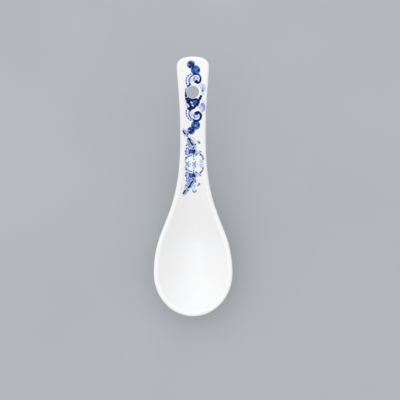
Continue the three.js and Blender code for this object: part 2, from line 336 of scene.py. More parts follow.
def apply_modifiers(piece):
    pick(piece)
    for modifier in list(piece.modifiers):
        bpy.ops.object.modifier_apply(modifier=modifier.name)


def place_ring(piece, number, points):
    """Moves the selected loop onto a ring of the spoon, and marks it with the ring's number."""
    mesh = bmesh.from_edit_mesh(piece.data)
    ring = mesh.verts.layers.int["ring"]
    place = mesh.verts.layers.int["place"]
    for vert in mesh.verts:
        if vert.select:
            vert.co = points[vert[place]]
            vert[ring] = number
    bmesh.update_edit_mesh(piece.data)


def spoon_skin(name, grow):
    """The closed skin of the wall: a circle extruded ring by ring over both faces of the spoon."""
    bpy.ops.object.select_all(action="DESELECT")
    bpy.ops.mesh.primitive_circle_add(vertices=2 * SIDE_STEPS, radius=BOWL_WIDTH / 2)
    skin = bpy.context.object
    skin.name = skin.data.name = name
    edit(skin)
    mesh = bmesh.from_edit_mesh(skin.data)
    mesh.verts.layers.int.new("ring")
    mesh.verts.layers.float.new("angle")
    place = mesh.verts.layers.int.new("place")
    for number, vert in enumerate(mesh.verts):
        vert[place] = number
    bpy.ops.mesh.select_all(action="SELECT")
    for number, points in enumerate(wall_rings(grow)):
        if number:
            bpy.ops.mesh.extrude_edges_indiv()
        place_ring(skin, number, points)
    bpy.ops.mesh.select_all(action="SELECT")
    bpy.ops.mesh.remove_doubles(threshold=WELD)
    bpy.ops.mesh.normals_make_consistent(inside=False)
    leave_edit()
    return skin


def skin_heights(skin):
    """A function that gives the height of the skin's upper (1) or under (-1) face over a place."""
    tree = BVHTree.FromObject(skin, bpy.context.evaluated_depsgraph_get())

    def height(x, y, side):
        return tree.ray_cast(Vector((x, y, side)), Vector((0, 0, -side)))[0].z

    return height


def loops_of(rim):
    """A rim's vertices in closed loops, each in the order in which its edges join them."""
    loops = []
    while rim:
        following = [min(rim, key=lambda vert: vert.index)]
        loop = []
        while following:
            loop.append(following[0])
            rim = rim - {following[0]}
            beside = [edge.other_vert(loop[-1]) for edge in loop[-1].link_edges if edge.is_boundary]
            following = [vert for vert in beside if vert in rim]
        loops.append(loop)
    return loops


def eased(angles):
    """Angles round a closed loop, evened out so that they go round without a step back."""
    angles = np.unwrap(angles)
    lap = math.copysign(2 * math.pi, angles[-1] - angles[0])
    for _ in range(RIM_EASING):
        before = np.concatenate([angles[-1:] - lap, angles[:-1]])
        after = np.concatenate([angles[1:], angles[:1] + lap])
        angles = (before + 2 * angles + after) / 4
    return angles


def open_oval(piece, height, centre_y, half_width, half_length, rings):
    """Opens an oval in the faces of some rings, brings its rim onto the oval and leaves that selected."""
    edit(piece)
    mesh = bmesh.from_edit_mesh(piece.data)
    ring = mesh.verts.layers.int["ring"]
    angle = mesh.verts.layers.float["angle"]

    def on_oval(vert):
        return vert.co.x / half_width, (vert.co.y - centre_y) / half_length

    def reach(vert):
        return math.hypot(*on_oval(vert))

    def turn_of(vert):
        x, y = on_oval(vert)
        return math.atan2(y, x)

    inside = [
        face
        for face in mesh.faces
        if all(vert[ring] in rings for vert in face.verts) and any(reach(vert) < 1 for vert in face.verts)
    ]
    rim = {vert for face in inside for vert in face.verts if reach(vert) >= 1}
    bmesh.ops.delete(mesh, geom=inside, context="FACES")
    mesh.verts.index_update()
    bpy.ops.mesh.select_all(action="DESELECT")
    for loop in loops_of(rim):
        for vert, turn in zip(loop, eased([turn_of(vert) for vert in loop])):
            vert[angle] = turn
            x, y = half_width * math.cos(turn), centre_y + half_length * math.sin(turn)
            vert.co = (x, y, height(x, y, 1 if vert[ring] in UPPER_RINGS else -1))
            vert.select = True
    mesh.select_flush(True)
    for edge in mesh.edges:
        edge.select_set(edge.is_boundary and all(vert in rim for vert in edge.verts))
    bmesh.update_edit_mesh(piece.data)


def roll_on(piece, path):
    """Extrudes the selected loop along a path: one function for each step, of angle and side."""
    for step in path:
        bpy.ops.mesh.extrude_edges_indiv()
        mesh = bmesh.from_edit_mesh(piece.data)
        ring = mesh.verts.layers.int["ring"]
        angle = mesh.verts.layers.float["angle"]
        for vert in mesh.verts:
            if vert.select:
                vert.co = step(vert[angle], 1 if vert[ring] in UPPER_RINGS else -1)
        bmesh.update_edit_mesh(piece.data)


def pierce(skin, height, radius):
    """The hanging hole: both faces roll over a rounded mouth into the bore."""
    rings = {*UPPER_RINGS, *UNDER_RINGS}
    open_oval(skin, height, HOLE_Y, radius + HOLE_MOUTH, radius + HOLE_MOUTH, rings)

    def mouth_step(turn):
        def place(angle, side):
            reach = radius + HOLE_MOUTH * (1 - math.sin(turn))
            x, y = reach * math.cos(angle), HOLE_Y + reach * math.sin(angle)
            return x, y, height(x, y, side) - side * HOLE_MOUTH * (1 - math.cos(turn))

        return place

    roll_on(skin, [mouth_step(turn) for turn in np.linspace(0, math.pi / 2, ROLL_STEPS + 1)[1:]])
    bpy.ops.mesh.bridge_edge_loops()
    leave_edit()


def add_foot(skin, height, grow, bottom):
    """The foot: the under face runs through a fillet into an oval wall that goes down to "bottom"."""
    half_width = FOOT_WIDTH / 2 + grow
    half_length = FOOT_LENGTH / 2 + grow
    open_oval(skin, height, 0, half_width + FOOT_FILLET, half_length + FOOT_FILLET, UNDER_RINGS)

    def oval(angle, offset):
        return (half_width + offset) * math.cos(angle), (half_length + offset) * math.sin(angle)

    def fillet_step(t):
        def place(angle, side):
            start = Vector((*oval(angle, FOOT_FILLET), 0))
            start.z = height(start.x, start.y, -1)
            corner = Vector((*oval(angle, 0), 0))
            corner.z = height(corner.x, corner.y, -1)
            wall = corner.copy()
            wall.z -= min(FOOT_FILLET, FILLET_SHARE * (corner.z - bottom - FOOT_EDGE))
            return start * (1 - t) ** 2 + corner * 2 * t * (1 - t) + wall * t**2

        return place

    def edge_step(turn):
        def place(angle, side):
            inset = -FOOT_EDGE * (1 - math.cos(turn))
            return *oval(angle, inset), bottom + FOOT_EDGE * (1 - math.sin(turn))

        return place

    turns = np.linspace(0, math.pi / 2, ROLL_STEPS + 1)
    roll_on(skin, [fillet_step(t) for t in np.linspace(0, 1, ROLL_STEPS + 1)[1:]])
    roll_on(skin, [edge_step(turn) for turn in turns])


def outward(skin):
    """Turns all faces of a skin outwards."""
    edit(skin)
    bpy.ops.mesh.select_all(action="SELECT")
    bpy.ops.mesh.normals_make_consistent(inside=False)
    leave_edit()


def make_body():
    """The fired clay, closed under its foot."""
    body = spoon_skin("fired_clay", 0)
    height = skin_heights(body)
    pierce(body, height, HOLE_DIAMETER / 2 + GLAZE)
    add_foot(body, height, 0, 0)
    bpy.ops.mesh.edge_face_add()
    bpy.ops.mesh.poke()
    leave_edit()
    outward(body)
    return body


def make_glaze():
    """The glaze: a thin shell over the clay, open under the foot."""
    grow = GLAZE - GLAZE_CLEARANCE
    glaze = spoon_skin("clear_glaze", grow)
    height = skin_heights(glaze)
    pierce(glaze, height, HOLE_DIAMETER / 2 + GLAZE_CLEARANCE)
    add_foot(glaze, height, grow, BARE_FOOT_BAND)
    leave_edit()
    outward(glaze)
    shell = glaze.modifiers.new("coat", "SOLIDIFY")
    shell.thickness = grow - GLAZE_CLEARANCE
    shell.offset = -1
    apply_modifiers(glaze)
    return glaze


# Blue ornament, in two bands along the handle

# A motif is a list of marks painted one over another. A mark is its ink and the (x, along, half width) points
# that it runs through, in millimetres: x lies across the handle, and "along" runs from the middle of the band
# towards the end of the handle.
BARE, FAINT, PALE, SOFT, MID, DEEP, NAVY = 0, 0.19, 0.35, 0.49, 0.64, 0.83, 1


def dot(ink, x, along, radius):
    """A round spot."""
    return ink, [(x, along, radius)]


def dashes(ink, centre_x, centre_along, radius, angles, half_length, half_width):
    """Short dashes on an arc, each given by the angle of its middle in radians."""
    marks = []
    for angle in angles:
        ends = (angle - half_length / radius, angle, angle + half_length / radius)
        places = [(centre_x + radius * math.cos(end), centre_along + radius * math.sin(end)) for end in ends]
        marks.append((ink, [(*place, half_width) for place in places]))
    return marks


def beads(ink, *points):
    """A string of round beads, each as wide as its point, on a thinner line through them."""
    line = [(x, along, BEAD_LINE * half) for x, along, half in points]
    return [(ink, line)] + [(ink, [point]) for point in points]


ROSETTE = [
    dot(SOFT, -1.15, 16.55, 1.9),
    dot(MID, -1.15, 16.55, 1.55),
    dot(DEEP, -1, 16.4, 0.5),
    dot(SOFT, -2.25, 16.5, 0.3),
    (NAVY, [(-1.85, 17.3, 0.28), (-1.35, 17.45, 0.34)]),
    (NAVY, [(-0.05, 16.8, 0.28), (0, 16.1, 0.34)]),
    (NAVY, [(-2.05, 15.6, 0.28), (-1.6, 15.3, 0.34)]),
]
BERRY = [
    dot(DEEP, 1.2, 13.75, 2.15),
    dot(MID, 1.3, 13.8, 1.75),
    dot(SOFT, 1.4, 14, 0.2),
    (DEEP, [(0.1, 14.5, 0.1), (0.9, 14.9, 0.12), (1.7, 14.7, 0.1)]),
    (DEEP, [(1.6, 13, 0.1), (2.3, 13.4, 0.1), (2.5, 14.3, 0.1)]),
    (DEEP, [(0.2, 13.5, 0.1), (0.8, 12.9, 0.12)]),
    (NAVY, [(-0.7, 14.1, 0.16), (-0.35, 14.8, 0.22), (0.2, 15.3, 0.14)]),
    (NAVY, [(3, 14, 0.12), (3, 13.2, 0.18)]),
    (NAVY, [(0.3, 12.2, 0.2), (1.4, 11.8, 0.22)]),
]
SCROLL = [
    dot(FAINT, -1, 8.6, 1),
    (FAINT, [(0.6, 9.9, 0.5), (2.2, 9.3, 0.7)]),
    (PALE, [(0.9, 10.5, 0.16), (1.8, 10.2, 0.2), (2.6, 9.5, 0.14)]),
    (SOFT, [(0.6, 10.3, 0.14), (0.5, 9.4, 0.2), (0.4, 8.5, 0.12)]),
    dot(MID, 0.45, 9.3, 0.16),
    (MID, [(-0.1, 11.1, 0.16), (-1.45, 10.2, 0.16), (-2.15, 9, 0.18), (-2.2, 7.8, 0.18), (-1.9, 6.7, 0.2)]),
    (NAVY, [(-1.5, 6.6, 0.2), (-2.1, 6, 0.26), (-2.75, 5.6, 0.18)]),
]
FAR_HOOK = [
    (DEEP, [(0.2, 11.4, 0.2), (1.6, 11.7, 0.26), (2.8, 11.4, 0.28), (3.65, 10.3, 0.26), (3.8, 8.9, 0.3)]),
    (NAVY, [(3.8, 8.9, 0.24), (3.4, 7.9, 0.36), (2.4, 7.3, 0.44), (1.6, 7.9, 0.66), (0.9, 7.6, 0.2)]),
]
NEAR_HOOK = [
    (NAVY, [(0.2, 11.4, 0.24), (1.6, 11.7, 0.3), (2.9, 11.4, 0.36), (3.8, 10.3, 0.4), (4, 8.9, 0.42)]),
    (NAVY, [(4, 8.9, 0.42), (3.4, 7.9, 0.44), (2.4, 7.4, 0.46), (1.6, 8, 0.68), (0.9, 7.7, 0.2)]),
]
BEAD_STRING = [
    *dashes(FAINT, 0.3, 8.1, 4, (2.44, 3.14), 1.3, 0.02),
    *dashes(NAVY, 0.3, 8.1, 4, (2.02, 2.38, 2.74, 3.08, 3.42, 3.76), 0.24, 0.07),
]
FAR_LEAF = [
    (FAINT, [(3.1, 6.2, 0.2), (3.6, 5.5, 0.3), (4.1, 4.5, 0.3)]),
    (FAINT, [(4.2, 6.7, 0.3), (4.7, 6, 0.3), (4.6, 4.8, 0.4)]),
    (FAINT, [(5.4, 6.4, 0.3), (5.6, 5.1, 0.6), (5.7, 3.8, 0.4)]),
    (PALE, [(5, 5.2, 0.2), (5.1, 4.3, 0.4), (4.9, 3.2, 0.55)]),
    dot(SOFT, 4.85, 3.2, 0.5),
    dot(MID, 4.8, 3.1, 0.1),
    (FAINT, [(4.6, 2.2, 0.3), (5.25, 1.5, 0.4)]),
]
NEAR_LEAF = [
    dot(FAINT, 5.3, 2.2, 0.3),
    (FAINT, [(4, 3.9, 0.5), (4.6, 5.2, 0.6), (4.6, 6.8, 0.5)]),
    (PALE, [(4.8, 3.8, 0.8), (5.6, 5, 0.5), (5.6, 6.2, 0.4), (4.8, 7.3, 0.4)]),
    dot(SOFT, 4.9, 3.8, 0.7),
    (SOFT, [(5.6, 4.9, 0.2), (5.7, 5.7, 0.22)]),
    (PALE, [(3.6, 4.9, 0.2), (3.1, 5.7, 0.16)]),
    (FAINT, [(4.3, 5.6, 0.3), (4.1, 6.6, 0.3)]),
    (FAINT, [(2.8, 4.1, 0.3), (2, 4.9, 0.3)]),
]
GARLAND = [
    dot(FAINT, -3.5, -3.8, 0.6),
    dot(FAINT, 4.1, -1.3, 0.4),
    dot(MID, -2.97, -4.9, 0.2),
    dot(MID, -2.97, -5.9, 0.2),
    dot(SOFT, -3.65, 3.9, 0.5),
    dot(MID, -2.97, 5.1, 0.2),
    (SOFT, [(-3.8, 3.4, 0.3), (-3.9, -0.2, 0.3), (-3.2, -2.6, 0.4)]),
    (MID, [(-2.1, -0.5, 0.7), (-0.6, -2.2, 0.9), (1, -2.4, 0.9), (2.2, -1.5, 0.6)]),
    (MID, [(-1.7, -3.4, 0.6), (-0.9, -4.4, 0.7), (0.2, -4.2, 0.5)]),
    (NAVY, [(-3.65, 2.7, 0.12), (-3.7, 1.6, 0.36), (-3.6, 0.8, 0.5)]),
    dot(NAVY, -3.3, -0.95, 0.6),
    *beads(NAVY, (-2.5, -2.4, 0.78), (-1.8, -3.5, 0.58), (-1.2, -4.8, 0.6)),
    *beads(NAVY, (-2, -5.5, 0.34), (-0.9, -5.7, 0.7), (0.3, -5.2, 0.66), (0.95, -4.4, 0.56), (2, -3.8, 0.56)),
    *beads(NAVY, (2, -3.8, 0.56), (2.65, -2.8, 0.5), (2.85, -1.9, 0.5), (3.4, -0.7, 0.54), (4, 0.4, 0.48)),
    *beads(NAVY, (-2.2, 0.1, 0.38), (-1.5, -1.1, 0.56), (-0.5, -2, 0.3)),
    *beads(NAVY, (-0.4, -1, 0.34), (0.8, -1.1, 0.56), (1.75, -1.1, 0.4)),
    (DEEP, [(0, -3.2, 0.2), (0.9, -2.8, 0.22), (1.8, -2.3, 0.2)]),
    dot(FAINT, -1.1, -0.1, 0.14),
    (BARE, [(-1.2, -2.5, 0.08), (-0.7, -2.9, 0.12)]),
    (FAINT, [(-0.5, -4.1, 0.16), (0, -4.4, 0.14)]),
]
LEAF_TIP = [
    (FAINT, [(-5.3, 18.1, 0.12), (-5, 17.5, 0.12)]),
    (FAINT, [(-4.7, 14.8, 0.4), (-3.9, 14.1, 0.4)]),
    (PALE, [(-4.6, 17.4, 0.14), (-3.9, 16.6, 0.22), (-3.2, 15.7, 0.24)]),
    (PALE, [(-3.6, 15.3, 0.3), (-3.2, 14.3, 0.4), (-2.7, 13.7, 0.2)]),
    dot(SOFT, -4.1, 16.9, 0.16),
    dot(SOFT, -3.25, 14.5, 0.34),
    dot(DEEP, -2.8, 15.2, 0.22),
    (NAVY, [(-5.4, 16.9, 0.16), (-4.85, 16.1, 0.26), (-4.3, 15.35, 0.2)]),
]
LONG_LEAF = [
    (FAINT, [(-2.6, 12.3, 0.7), (-1.9, 10.6, 0.9), (-1.6, 8.9, 0.9)]),
    (FAINT, [(-0.8, 13.7, 0.12), (0.3, 12.9, 0.14), (1.2, 11.4, 0.14)]),
    (PALE, [(-1.9, 13.3, 0.2), (-0.6, 11.8, 0.26), (0.4, 10.3, 0.24)]),
    (PALE, [(-2.9, 11.7, 0.3), (-1.8, 10.9, 0.4), (-0.7, 9.9, 0.4), (0.2, 9.2, 0.3)]),
    dot(MID, -2.55, 12.15, 0.6),
    dot(FAINT, -2.8, 12, 0.16),
    (SOFT, [(-1.7, 12, 0.16), (-1.4, 11.2, 0.16)]),
    (NAVY, [(-2.6, 12.95, 0.2), (-2.1, 12.6, 0.26), (-1.65, 12.05, 0.22)]),
    (NAVY, [(-1.4, 11.1, 0.22), (-0.9, 10.45, 0.28), (-0.35, 9.75, 0.24)]),
    (SOFT, [(-3, 10.7, 0.08), (-2.4, 10.4, 0.1), (-1.5, 9.4, 0.1)]),
    (MID, [(-3.2, 10, 0.1), (-2.1, 8.9, 0.12), (-1.4, 8.4, 0.12)]),
    dot(MID, -3.65, 9.3, 0.2),
    (SOFT, [(1, 9.8, 0.14), (0.4, 9.2, 0.14)]),
    dot(DEEP, 1.1, 9.9, 0.24),
]
BLOSSOM = [
    (FAINT, [(-1.8, 6.2, 1.3), (0.5, 6.3, 1.4)]),
    (PALE, [(-0.9, 8.3, 0.3), (0.2, 8.1, 0.4), (1.1, 8.4, 0.2)]),
    (PALE, [(1.6, 6.4, 0.4), (1, 5, 0.3)]),
    (DEEP, [(-1.7, 6.1, 0.6), (-0.2, 6.1, 0.75)]),
    (DEEP, [(-2.1, 5.2, 0.2), (-1.9, 6.3, 0.26), (-1.5, 7, 0.3)]),
    (DEEP, [(-1.5, 7, 0.2), (-0.5, 6.9, 0.26), (0.3, 6.6, 0.3)]),
    (NAVY, [(0.75, 7, 0.2), (0.4, 6.3, 0.36), (0.15, 5.3, 0.24)]),
    dot(MID, -1.05, 6.1, 0.3),
    (MID, [(0.15, 5.2, 0.14), (0.1, 4.5, 0.14)]),
    dot(SOFT, -0.5, 7.6, 0.2),
    dot(DEEP, 0, 8.05, 0.24),
    dot(SOFT, 1.1, 8.5, 0.2),
    dot(MID, 0.15, 3.65, 0.18),
    dot(SOFT, 0.3, 2.35, 0.24),
    (MID, [(-2.6, 3.5, 0.08), (-1.7, 4.1, 0.12), (-1, 4.15, 0.1)]),
]
BUD = [
    (FAINT, [(-3.1, 7.4, 0.6), (-3.2, 4.9, 0.6)]),
    dot(PALE, -3.3, 6.1, 0.95),
    dot(FAINT, -3.05, 6.9, 0.18),
    dot(FAINT, -2.95, 6.05, 0.2),
    dot(FAINT, -3.05, 5.25, 0.18),
    (MID, [(-3.75, 7.5, 0.1), (-3.2, 8.1, 0.12), (-2.6, 7.6, 0.1), (-2.3, 7.1, 0.1)]),
    dot(DEEP, -4.05, 6.4, 0.24),
    dot(MID, -3.85, 5.1, 0.26),
    (SOFT, [(-3.5, 4.6, 0.16), (-2.7, 4.5, 0.16)]),
    (PALE, [(-3.8, 2.7, 0.3), (-4.2, 1.9, 0.2)]),
    (SOFT, [(-3.3, 3.3, 0.12), (-2.8, 3.5, 0.1)]),
    dot(MID, -3.7, 3, 0.38),
    dot(DEEP, -3.6, 3.1, 0.14),
]
SEED = [
    (PALE, [(2.3, 11.5, 0.2), (2.7, 11.3, 0.3)]),
    dot(SOFT, 3, 10.9, 0.5),
    dot(MID, 3.05, 10.7, 0.2),
]
NEAR_LEAFLET = [
    (PALE, [(-4.3, 12.7, 0.2), (-3.8, 11.7, 0.34), (-3.3, 10.8, 0.2)]),
    dot(SOFT, -3.9, 11.9, 0.3),
]
NEAR_LOOPS = [
    (FAINT, [(-0.4, 13.1, 0.14), (0.5, 12, 0.14)]),
    dot(SOFT, 0.55, 11.8, 0.2),
    (SOFT, [(-0.3, 13.9, 0.14), (-0.1, 14.6, 0.22), (0.55, 15, 0.24), (1.2, 14.6, 0.22), (1.45, 14, 0.14)]),
]
TENDRIL = [
    (PALE, [(1.2, 4.1, 0.16), (1.9, 4.9, 0.2), (2.9, 5.4, 0.26), (3.8, 5, 0.28)]),
    dot(PALE, 3.2, 6.3, 0.24),
    dot(SOFT, 3.9, 6.2, 0.24),
    dot(MID, 1.7, 4.6, 0.22),
    (SOFT, [(3.9, 4.6, 0.3), (4.6, 3.9, 0.24), (5, 3.2, 0.24), (5.1, 2.3, 0.26)]),
    dot(DEEP, 3.85, 4.6, 0.26),
    dot(MID, 5, 2.4, 0.22),
    dot(PALE, 4.2, 1.1, 0.75),
    dot(BARE, 4.2, 1.15, 0.3),
    dot(FAINT, 4.2, 1.15, 0.1),
]
KNOT_LEFT = [
    dot(FAINT, -3.1, -0.4, 0.8),
    (PALE, [(-2.4, 0.9, 0.2), (-3.1, -0.3, 0.24), (-4.1, -1.6, 0.14)]),
    (SOFT, [(-4.1, 0.9, 0.14), (-3.2, -0.3, 0.16), (-2.4, -1.6, 0.2)]),
    dot(SOFT, -1.6, -0.35, 0.2),
]
KNOT_RIGHT = [
    dot(FAINT, 0.4, -0.4, 0.8),
    (FAINT, [(1.6, -0.35, 0.12), (2.6, -0.35, 0.12)]),
    (PALE, [(-0.4, 0.5, 0.14), (0.3, -0.2, 0.18)]),
    (PALE, [(-0.4, -1.3, 0.14), (0.3, -0.6, 0.18)]),
    (SOFT, [(1.2, 0.9, 0.18), (0.65, 0.1, 0.16), (0.6, -0.9, 0.16), (1.2, -1.75, 0.2)]),
]


def near_side(marks, shift=0):
    """The same marks mirrored to the near side of the band's middle, and moved along by "shift"."""
    return [(ink, [(x, shift - along, half) for x, along, half in points]) for ink, points in marks]


def both_ways(near_shift=0, **motifs):
    """Each motif twice: as drawn, on the far side of the band's middle, and on the near side."""
    pairs = [(f"{name}_far", marks) for name, marks in motifs.items()]
    pairs += [(f"{name}_near", near_side(marks, near_shift)) for name, marks in motifs.items()]
    return dict(pairs)


SCROLL_BAND = {
    "scroll_far": SCROLL + FAR_HOOK,
    "scroll_near": near_side(SCROLL + NEAR_HOOK, shift=-0.3),
    **both_ways(bead_string=BEAD_STRING),
    **both_ways(near_shift=-0.55, rosette=ROSETTE, berry=BERRY),
    "side_leaf_far": FAR_LEAF,
    "side_leaf_near": near_side(NEAR_LEAF),
    "lappet_garland": GARLAND,
}
SPRAY_BAND = {
    **both_ways(blossom=BLOSSOM, bud=BUD, tendril=TENDRIL),
    "long_leaf_far": LONG_LEAF,
    "long_leaf_near": near_side(LONG_LEAF + NEAR_LEAFLET, shift=0.4),
    **both_ways(near_shift=1.1, leaf_tip=LEAF_TIP),
    "seed_far": SEED,
    "seed_near": near_side(SEED + NEAR_LOOPS),
    "knot_left": KNOT_LEFT,
    "knot_right": KNOT_RIGHT,
}


def placed(motifs, station):
    """A band's motifs, moved to their place along the spoon."""
    return {
        name: [(ink, [(x, along + station / MM, half) for x, along, half in points]) for ink, points in marks]
        for name, marks in motifs.items()
    }


MOTIFS = {**placed(SCROLL_BAND, SCROLL_BAND_STATION), **placed(SPRAY_BAND, SPRAY_BAND_STATION)}
INK_SLOTS = {
    "cobalt_dark": ("rosette", "scroll", "bead_string", "lappet_garland"),
    "cobalt_mid": ("berry", "leaf_tip", "long_leaf", "blossom"),
    "cobalt_pale": ("side_leaf", "bud", "seed", "tendril", "knot"),
}


def curve_through(points):
    """A fine run of points along a smooth curve through a mark's points."""
    points = np.array(points, float)
    if len(points) == 1:
        return points
    padded = np.concatenate([2 * points[:1] - points[1:2], points, 2 * points[-1:] - points[-2:-1]])
    t = np.linspace(0, 1, MARK_STEPS, endpoint=False)[:, None]
    runs = [
        start
        + t / 2 * (end - before)
        + t**2 * (before - 2.5 * start + 2 * end - after / 2)
        + t**3 * (1.5 * (start - end) + (after - before) / 2)
        for before, start, end, after in zip(padded, padded[1:], padded[2:], padded[3:])
    ]
    return np.concatenate([*runs, points[-1:]])


def smooth_step(share):
    """A soft rise from 0 to 1 as the share goes from 0 to 1."""
    share = np.clip(share, 0, 1)
    return share**2 * (3 - 2 * share)


def painted(places, marks):
    """Ink at each (x, along) place, in millimetres, after every mark is painted over the ones before it."""
    ink = np.zeros(len(places))
    for level, points in marks:
        line = curve_through(points)
        margin = line[:, 2].max() + INK_SPREAD + INK_BLEED
        low, high = line[:, :2].min(axis=0) - margin, line[:, :2].max(axis=0) + margin
        near = ((places > low) & (places < high)).all(axis=1)
        depth = np.full(near.sum(), -math.inf)
        for x, along, half in line:
            depth = np.maximum(depth, half - np.hypot(places[near, 0] - x, places[near, 1] - along))
        cover = smooth_step((depth + INK_SPREAD) / INK_BLEED + 0.5)
        ink[near] = ink[near] * (1 - cover) + level * cover
    return ink


def fine_sheet():
    """A fine flat grid above the handle, under both bands."""
    length = SHEET_END - SHEET_START
    bpy.ops.object.select_all(action="DESELECT")
    bpy.ops.mesh.primitive_grid_add(
        x_subdivisions=round(SHEET_WIDTH / SHEET_PITCH), y_subdivisions=round(length / SHEET_PITCH), size=1
    )
    sheet = bpy.context.object
    edit(sheet)
    bpy.ops.mesh.select_all(action="SELECT")
    bpy.ops.transform.resize(value=(SHEET_WIDTH, length, 1))
    bpy.ops.transform.translate(value=(0, SHEET_START + length / 2 - FOOT_STATION, 2 * HEIGHT))
    leave_edit()
    return sheet


def ink_sheet(sheet):
    """Paints the motifs on the sheet and marks each face with the number of the motif that it belongs to."""
    places = np.array([vert.co[:2] for vert in sheet.data.vertices])
    drawn = (places + (-BAND_X, FOOT_STATION)) / MM
    seed_set(WAVER_SEED)
    drawn += WAVER * np.array([noise_vector((x, along, 0))[:2] for x, along in drawn])
    inks = np.array([painted(drawn, marks) for marks in MOTIFS.values()])
    from_hole = np.hypot(places[:, 0], places[:, 1] - HOLE_Y) - HOLE_DIAMETER / 2
    inks *= smooth_step((from_hole - UNPRINTED_RIM) / (INK_BLEED * MM))
    ink = inks.max(axis=0)
    owner = inks.argmax(axis=0)
    sheet.data.attributes.new("ink", "FLOAT", "POINT").data.foreach_set("value", ink)
    depth = sheet.vertex_groups.new(name="depth")
    for number, amount in enumerate(ink):
        depth.add([number], amount, "REPLACE")
    motif_of = sheet.data.attributes.new("motif", "INT", "FACE").data
    for face, motif in zip(sheet.data.polygons, motif_of):
        strongest = max(face.vertices, key=lambda corner: ink[corner])
        motif.value = owner[strongest] if ink[strongest] > LEAST_INK else NO_MOTIF


def lay_on(sheet, glaze):
    """Drops the sheet onto the glaze."""
    wrap = sheet.modifiers.new("lay", "SHRINKWRAP")
    wrap.target = glaze
    wrap.wrap_method = "PROJECT"
    wrap.use_project_z = True
    wrap.use_negative_direction = True
    wrap.use_positive_direction = False
    wrap.offset = FILM_CLEARANCE
    apply_modifiers(sheet)


def edit_motif(sheet, number):
    """Goes into edit mode with the faces of one motif selected."""
    edit(sheet)
    bpy.ops.mesh.select_mode(type="FACE")
    mesh = bmesh.from_edit_mesh(sheet.data)
    motif = mesh.faces.layers.int["motif"]
    for face in mesh.faces:
        face.select_set(face[motif] == number)
    bmesh.update_edit_mesh(sheet.data)


def part_corners(piece):
    """Parts faces that meet in a corner alone, so that the film closes round each of them."""
    edit(piece)
    mesh = bmesh.from_edit_mesh(piece.data)
    for vert in list(mesh.verts):
        rim = [edge for edge in vert.link_edges if edge.is_boundary]
        if len(rim) > 2:
            bmesh.utils.vert_separate(vert, rim)
    bmesh.update_edit_mesh(piece.data)
    leave_edit()


def cut_out(sheet, number, name):
    """Cuts one motif out of the sheet as a piece of its own: a film as thick as its ink is strong."""
    edit_motif(sheet, number)
    bpy.ops.mesh.separate(type="SELECTED")
    leave_edit()
    piece = next(other for other in bpy.context.selected_objects if other is not sheet)
    piece.name = piece.data.name = name
    part_corners(piece)
    film = piece.modifiers.new("film", "SOLIDIFY")
    film.thickness = FILM
    film.offset = 1
    film.vertex_group = "depth"
    film.thickness_vertex_group = FILM_EDGE
    apply_modifiers(piece)
    return piece


def make_prints(glaze):
    """Prints both bands on the glaze and returns the pieces by the names of their motifs."""
    sheet = fine_sheet()
    ink_sheet(sheet)
    lay_on(sheet, glaze)
    edit_motif(sheet, NO_MOTIF)
    bpy.ops.mesh.delete(type="FACE")
    leave_edit()
    pieces = {motif: cut_out(sheet, number, f"printed_{motif}") for number, motif in enumerate(MOTIFS)}
    bpy.data.objects.remove(sheet)
    return pieces


# Materials

# Linear colours
WHITE = (0.91, 0.91, 0.915)
COOL_WHITE = (0.9, 0.905, 0.915)
WARM_WHITE = (0.915, 0.91, 0.905)
PERIWINKLE = (0.4, 0.47, 0.72)
COBALT = (0.052, 0.165, 0.53)
INDIGO = (0.014, 0.04, 0.2)
NAVY_BLUE = (0.001, 0.003, 0.045)
CLAY_BUFF = (0.66, 0.6, 0.5)
CLAY_CREAM = (0.76, 0.71, 0.62)
CLAY_FLUSH = (0.7, 0.52, 0.36)
TABLE_GREY = (0.41, 0.43, 0.46)
TABLE_PALE_GREY = (0.44, 0.46, 0.49)

# Patterns, as fine as so many lumps to the millimetre, and the finish of each surface
NOISE_LOW, NOISE_MIDDLE, NOISE_HIGH = 0.3, 0.5, 0.7  # most of a noise lies between the outer two
BUMP_DEPTH = 0.05 * MM
GLAZE_CLOUDS = 0.06
GLAZE_RIPPLES = 0.25
GLAZE_RIPPLE_STRENGTH = 0.06
GLAZE_SMEARS = 0.15
GLAZE_SMOOTHEST, GLAZE_ROUGHEST = 0.06, 0.12
GLAZE_REFLECTION = 0.32
INK_STOPS = ((0, WHITE), (0.32, PERIWINKLE), (0.62, COBALT), (0.82, INDIGO), (1, NAVY_BLUE))
INK_PATCHES = 1.2
INK_WEAKEST, INK_STRONGEST = 0.84, 1.08
INK_REFLECTION = 0.1
CLAY_GRAINS = 2.5
CLAY_PITS = 4
CLAY_PIT_STRENGTH = 0.35
CLAY_SMEARS = 0.8
CLAY_SMOOTHEST, CLAY_ROUGHEST = 0.75, 0.9
CLAY_FLUSH_START = 0.2 * MM  # above the table
TABLE_CLOUDS = 0.01
TABLE_ROUGHNESS = 0.7


def add_node(tree, kind, **inputs):
    """Adds a node. An input is a plain value or another node's output, under its socket's own identifier."""
    node = tree.nodes.new(kind)
    sockets = {socket.identifier.lower().replace(" ", "_"): socket for socket in node.inputs}
    for name, value in inputs.items():
        if isinstance(value, bpy.types.NodeSocket):
            tree.links.new(value, sockets[name])
        else:
            sockets[name].default_value = value
    return node


def noise(tree, per_mm, detail=2):
    """Noise with about this many lumps to the millimetre."""
    place = add_node(tree, "ShaderNodeTexCoord").outputs["Object"]
    lumps = add_node(tree, "ShaderNodeTexNoise", vector=place, scale=per_mm / MM, detail=detail)
    return lumps.outputs["Fac"]


def spread(tree, factor, low, high, from_low=NOISE_LOW, from_high=NOISE_HIGH):
    """A value that runs from low to high as the factor does."""
    limits = {"from_min": from_low, "from_max": from_high, "to_min": low, "to_max": high}
    return add_node(tree, "ShaderNodeMapRange", value=factor, **limits).outputs["Result"]


